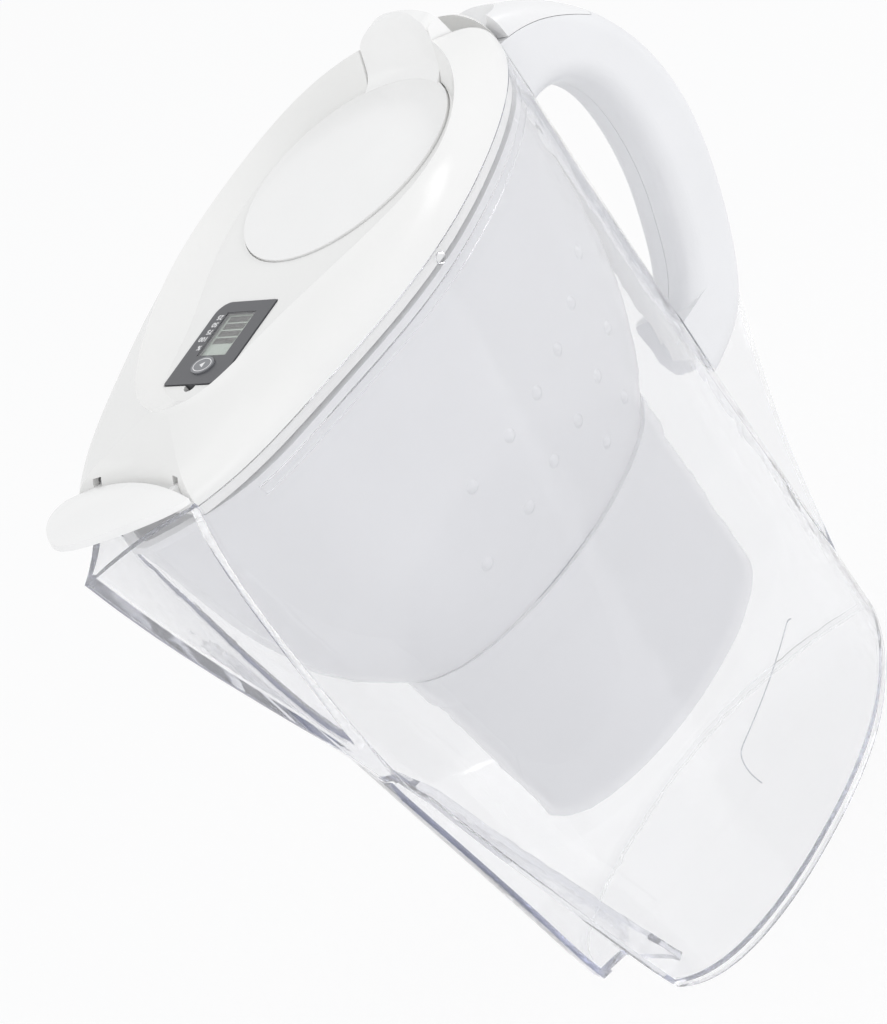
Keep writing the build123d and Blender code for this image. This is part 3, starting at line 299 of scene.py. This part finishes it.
# Funnel
# Milky hopper with the cup for the cartridge and rows of raised oval dots, all one moulding. Its wall
# lets the cartridge and the far side of the jug show through faintly.
MILKY_COVER = 0.66
milky = plastic("milky", (0.975, 0.975, 0.985), 0.24, drift=0.01)
milky.node_tree.nodes["Principled BSDF"].inputs["Alpha"].default_value = MILKY_COVER
dress("funnel", milky)

# Cartridge
# Pale cup with a slotted floor and a slotted cap with a pull ring, a soft ring under its flange, fine
# woven sieves and dark granules.
SIEVE_PITCH = 0.0011
GRAIN_SIZE = 0.0009
GRAIN_RISE = 0.0004
DARK_SHARE = 0.62

# The shell colour is painted darker than the cartridge's own pale tone: painted shade, for the shade it
# lies in inside the funnel.
shaded_cartridge_shell = plastic("shaded_cartridge_shell", (0.58, 0.60, 0.68), 0.38)
soft_ring = plastic("soft_ring", (0.52, 0.55, 0.6), 0.7)
dress("cartridge_housing", shaded_cartridge_shell)
dress("cartridge_cap", shaded_cartridge_shell)
dress("cartridge_seal_ring", soft_ring)


def woven(name, colour, pitch):
    """Sieve cloth: threads that cross square, with dark meshes between them"""
    mat = plastic(name, colour, 0.6)
    net = mat.node_tree
    split = net.nodes.new("ShaderNodeSeparateXYZ")
    net.links.new(net.nodes["Texture Coordinate"].outputs["Object"], split.inputs[0])
    cross = net.nodes.new("ShaderNodeMath")
    cross.operation = "MAXIMUM"
    for way, thread in zip(("X", "Y"), cross.inputs):
        wave = net.nodes.new("ShaderNodeMath")
        wave.operation = "MULTIPLY"
        wave.inputs[1].default_value = 2 * math.pi / pitch
        sine = net.nodes.new("ShaderNodeMath")
        sine.operation = "SINE"
        net.links.new(split.outputs[way], wave.inputs[0])
        net.links.new(wave.outputs[0], sine.inputs[0])
        net.links.new(sine.outputs[0], thread)
    cloth = net.nodes.new("ShaderNodeValToRGB")
    hole, yarn = cloth.color_ramp.elements
    hole.position = 0.35
    hole.color = (0.12, 0.12, 0.13, 1)
    yarn.position = 0.6
    yarn.color = colour + (1,)
    net.links.new(cross.outputs[0], cloth.inputs["Fac"])
    net.links.new(cloth.outputs["Color"], net.nodes["Principled BSDF"].inputs["Base Color"])
    return mat


sieve_cloth = woven("sieve_cloth", (0.72, 0.73, 0.76), SIEVE_PITCH)
dress("cartridge_top_sieve", sieve_cloth)
dress("cartridge_bottom_sieve", sieve_cloth)


def grains(name, dark, pale, size):
    """Loose beads packed side by side, some dark and some pale"""
    mat = plastic(name, dark, 0.55)
    net = mat.node_tree
    skin = net.nodes["Principled BSDF"]
    cells = net.nodes.new("ShaderNodeTexVoronoi")
    cells.inputs["Scale"].default_value = 1 / size
    net.links.new(net.nodes["Texture Coordinate"].outputs["Object"], cells.inputs["Vector"])
    pick = net.nodes.new("ShaderNodeValToRGB")
    pick.color_ramp.interpolation = "CONSTANT"
    pick.color_ramp.elements[0].color = dark + (1,)
    pick.color_ramp.elements[1].position = DARK_SHARE
    pick.color_ramp.elements[1].color = pale + (1,)
    shade = net.nodes.new("ShaderNodeSeparateColor")
    net.links.new(cells.outputs["Color"], shade.inputs[0])
    net.links.new(shade.outputs[0], pick.inputs["Fac"])
    net.links.new(pick.outputs["Color"], skin.inputs["Base Color"])
    round_off = net.nodes.new("ShaderNodeBump")
    round_off.invert = True
    round_off.inputs["Distance"].default_value = GRAIN_RISE
    net.links.new(cells.outputs["Distance"], round_off.inputs["Height"])
    net.links.new(round_off.outputs["Normal"], skin.inputs["Normal"])
    return mat


dress("filter_granules", grains("granule_mix", (0.02, 0.018, 0.016), (0.55, 0.46, 0.3), GRAIN_SIZE))

# Lid
# White glossy moulding: the apron rises from the rim to a crest round a shallow bowl, which holds the
# refill opening and the tub of the indicator.
dress("lid_shell", plastic("lid_white", (0.885, 0.883, 0.868), 0.24))

# Flaps
# Both are white mouldings as glossy as the lid: the oval refill flap with its upright thumb tab, and
# the thin domed flap over the spout.
flap_white = plastic("flap_white", (0.93, 0.928, 0.918), 0.22)
dress("refill_flap", flap_white)
dress("spout_flap", flap_white)

# Indicator
# Grey matt housing that drops into the lid, a clear pane over a pale green display, four dark bars on
# the display and a row of printed numbers beside it. Board, cell and contact lie inside.
meter_grey = plastic("meter_grey", (0.088, 0.09, 0.098), 0.38, grain=0.00012, grain_scale=2200.0)
dress("indicator_bezel", meter_grey)
dress("indicator_back_cover", meter_grey)
dress("indicator_seal", soft_ring)
dress("indicator_window", clear_plastic("pane_clear", (0.9, 0.93, 0.9), 8.0))
dress("lcd_panel", plastic("display_green", (0.42, 0.49, 0.43), 0.2, drift=0.04))
dress("lcd_connector", soft_ring)
dress("circuit_board", plastic("board_green", (0.03, 0.13, 0.05), 0.45))
steel = plastic("bright_steel", (0.62, 0.62, 0.6), 0.28)
steel.node_tree.nodes["Principled BSDF"].inputs["Metallic"].default_value = 1.0
for name in ("button_cell", "battery_contact", "button_dome"):
    dress(name, steel)

BAR_STARTS = (-0.0377, -0.0405, -0.0434, -0.0463)
BAR_LENGTH = 0.0023
BAR_Y = (-0.0044, 0.0053)
BAR_SINK = 0.00002
PRINT_THICK = 0.00005


def plate(shape, low, high):
    """Adds a thin block between two corners"""
    made = bmesh.ops.create_cube(shape, size=1.0)["verts"]
    bmesh.ops.scale(shape, vec=[b - a for a, b in zip(low, high)], verts=made)
    bmesh.ops.translate(shape, vec=[(a + b) / 2 for a, b in zip(low, high)], verts=made)


display_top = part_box("lcd_panel")[1].z
shape = bmesh.new()
for start in BAR_STARTS:
    plate(shape, (start - BAR_LENGTH, BAR_Y[0], display_top - BAR_SINK),
          (start, BAR_Y[1], display_top + PRINT_THICK))
bars = shaped("display_bars", shape, plastic("bar_black", (0.018, 0.02, 0.018), 0.5))
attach(bars, "indicator")

LABELS = (("%", -0.0511), ("100", -0.0476), ("75", -0.0447), ("50", -0.0418), ("25", -0.0389))
LABEL_Y = 0.0074
LABEL_HIGH = 0.0019
LABEL_BOLD = 0.00005
FONT_SIZE = LABEL_HIGH * 1.35

bezel_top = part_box("indicator_bezel")[1].z
print_white = plastic("print_white", (0.86, 0.86, 0.86), 0.5)
shape = bmesh.new()
for words, place in LABELS:
    line = bpy.data.curves.new("label", "FONT")
    line.body = words
    line.size = FONT_SIZE
    line.extrude = PRINT_THICK
    line.offset = LABEL_BOLD
    writing = bpy.data.objects.new("label", line)
    letters = bpy.data.meshes.new_from_object(writing)
    foot = Matrix.Translation((place + LABEL_HIGH / 2, LABEL_Y, bezel_top))
    letters.transform(foot @ Matrix.Rotation(math.pi / 2, 4, "Z"))
    shape.from_mesh(letters)
    bpy.data.objects.remove(writing)
    bpy.data.meshes.remove(letters)
numbers = shaped("printed_numbers", shape, print_white)
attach(numbers, "indicator")

# Start button
# Oval grey key that slides in the housing over a spring dome. Its top carries a pale ring with a small
# triangle in it.
RING_REACH = (0.0026, 0.0039)
RING_INNER = (0.9, 0.93)
ARROW_R = 0.00125

dress("start_button", plastic("button_grey", (0.22, 0.225, 0.24), 0.3))
low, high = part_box("start_button")
key_top = ((low.x + high.x) / 2, (low.y + high.y) / 2, high.z)
shape = bmesh.new()
ring = bmesh.ops.create_circle(shape, cap_ends=False, segments=48, radius=1.0)["verts"]
bmesh.ops.scale(shape, vec=(*RING_REACH, 1.0), verts=ring)
band = bmesh.ops.extrude_edge_only(shape, edges=shape.edges[:])["geom"]
inner = [v for v in band if isinstance(v, bmesh.types.BMVert)]
bmesh.ops.scale(shape, vec=(*RING_INNER, 1.0), verts=inner)
bmesh.ops.create_circle(shape, cap_ends=True, segments=3, radius=ARROW_R)
bmesh.ops.solidify(shape, geom=shape.faces[:], thickness=-PRINT_THICK)
bmesh.ops.translate(shape, verts=shape.verts, vec=key_top)
bmesh.ops.recalc_face_normals(shape, faces=shape.faces)
mark = shaped("start_mark", shape, print_white)
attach(mark, "start_button")
